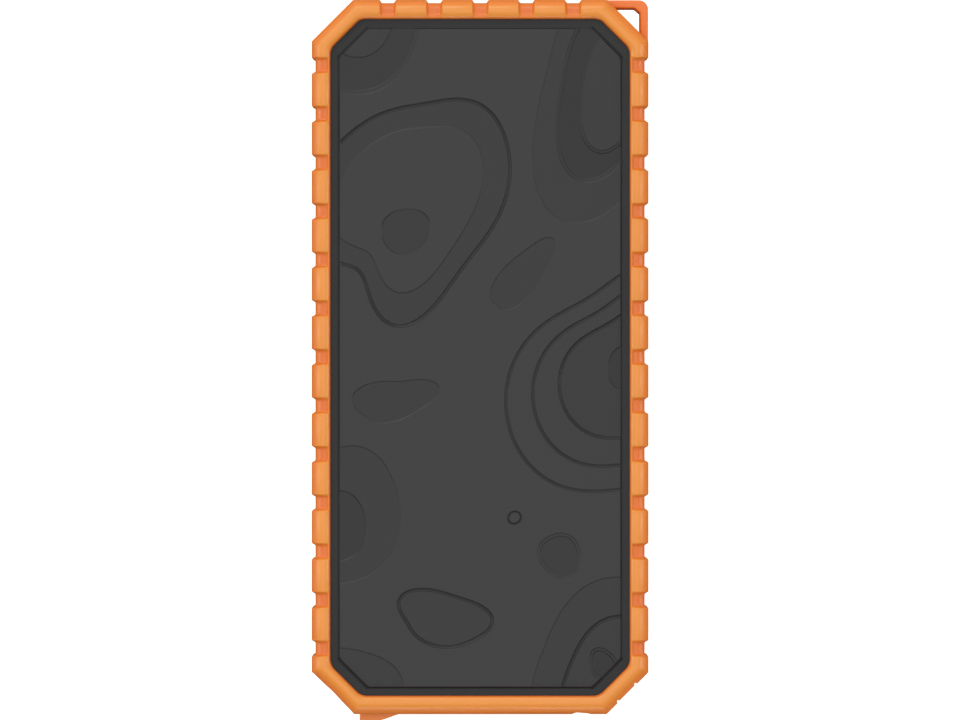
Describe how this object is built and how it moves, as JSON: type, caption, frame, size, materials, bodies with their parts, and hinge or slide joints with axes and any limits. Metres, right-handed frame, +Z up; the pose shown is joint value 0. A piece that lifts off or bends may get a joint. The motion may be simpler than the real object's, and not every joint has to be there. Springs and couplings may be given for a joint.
{
  "type": "power bank",
  "caption": "Rugged flat power bank in a ribbed rubber bumper, with a lanyard loop, a hinged rubber port cover and a sprung power button.",
  "frame": {"origin": "centre of the bounding box's base, on the surface the power bank lies on", "axes": "+Z up out of the relief face, +Y towards the lanyard loop's end, -Y towards the port cover's end"},
  "size_m": [0.084, 0.1806, 0.028],
  "materials": {
    "bumper_orange": "satin moulded rubber",
    "loop_orange": "smooth satin",
    "cover_orange": "satin moulded rubber",
    "housing_black": "fine matte texture",
    "field_black": "fine matte texture",
    "seal_rubber": "matte",
    "screw_steel": "dark zinc",
    "socket_steel": "nickel plated",
    "pouch_foil": "laminated foil",
    "foam_grey": "open foam",
    "tab_nickel": "nickel strip",
    "board_green": "solder mask",
    "chip_black": "moulded",
    "tongue_plastic": "moulded",
    "ferrite_grey": "pressed ferrite",
    "capacitor_can": "bright can",
    "light_guide_clear": "clear acrylic",
    "led_white": "clear package",
    "lead_red": "silicone insulation",
    "lead_black": "silicone insulation",
    "sensor_bead": "epoxy bead",
    "plunger_plastic": "moulded"
  },
  "bodies": {
    "housing": {"bumper_frame": "bumper_orange", "lanyard_loop": "loop_orange", "cover_anchor": "cover_orange", "upper_shell": "housing_black", "lower_shell": "housing_black", "upper_panel": "field_black", "lower_panel": "field_black", "shell_seal": "seal_rubber", "housing_screw_1": "screw_steel", "housing_screw_2": "screw_steel", "housing_screw_3": "screw_steel", "housing_screw_4": "screw_steel", "housing_screw_5": "screw_steel", "housing_screw_6": "screw_steel", "port_plate": "housing_black", "usb_a_shell_1": "socket_steel", "usb_a_shell_2": "socket_steel", "usb_a_tongue_1": "tongue_plastic", "usb_a_tongue_2": "tongue_plastic", "usb_c_shell": "socket_steel", "usb_c_tongue": "tongue_plastic", "cell_lower": "pouch_foil", "cell_upper": "pouch_foil", "foam_lower": "foam_grey", "foam_middle": "foam_grey", "foam_upper": "foam_grey", "tab_lower_pos": "tab_nickel", "tab_lower_neg": "tab_nickel", "tab_upper_pos": "tab_nickel", "tab_upper_neg": "tab_nickel", "protection_board": "board_green", "temp_sensor": "sensor_bead", "lead_red": "lead_red", "lead_black": "lead_black", "main_board": "board_green", "board_screw_1": "screw_steel", "board_screw_2": "screw_steel", "inductor_1": "ferrite_grey", "inductor_2": "ferrite_grey", "capacitor_1": "capacitor_can", "capacitor_2": "capacitor_can", "controller_chip": "chip_black", "transistor_1": "chip_black", "transistor_2": "chip_black", "led_1": "led_white", "led_2": "led_white", "led_3": "led_white", "led_4": "led_white", "light_guide": "light_guide_clear", "switch_body": "chip_black"},
    "cover": {"port_cover": "cover_orange"},
    "button": {"power_button": "bumper_orange", "switch_plunger": "plunger_plastic"}
  },
  "joints": [
    {"name": "cover_hinge", "type": "hinge", "parent": "housing", "child": "cover", "pos_m": [0.0229, -0.08775, 0.014], "axis": [0, 0, 1], "range_deg": [0, 110]},
    {"name": "button_press", "type": "slide", "parent": "housing", "child": "button", "axis": [-0.7071, 0.7071, 0], "range_m": [0, 0.0005], "stiffness_N_per_m": 3000}
  ]
}
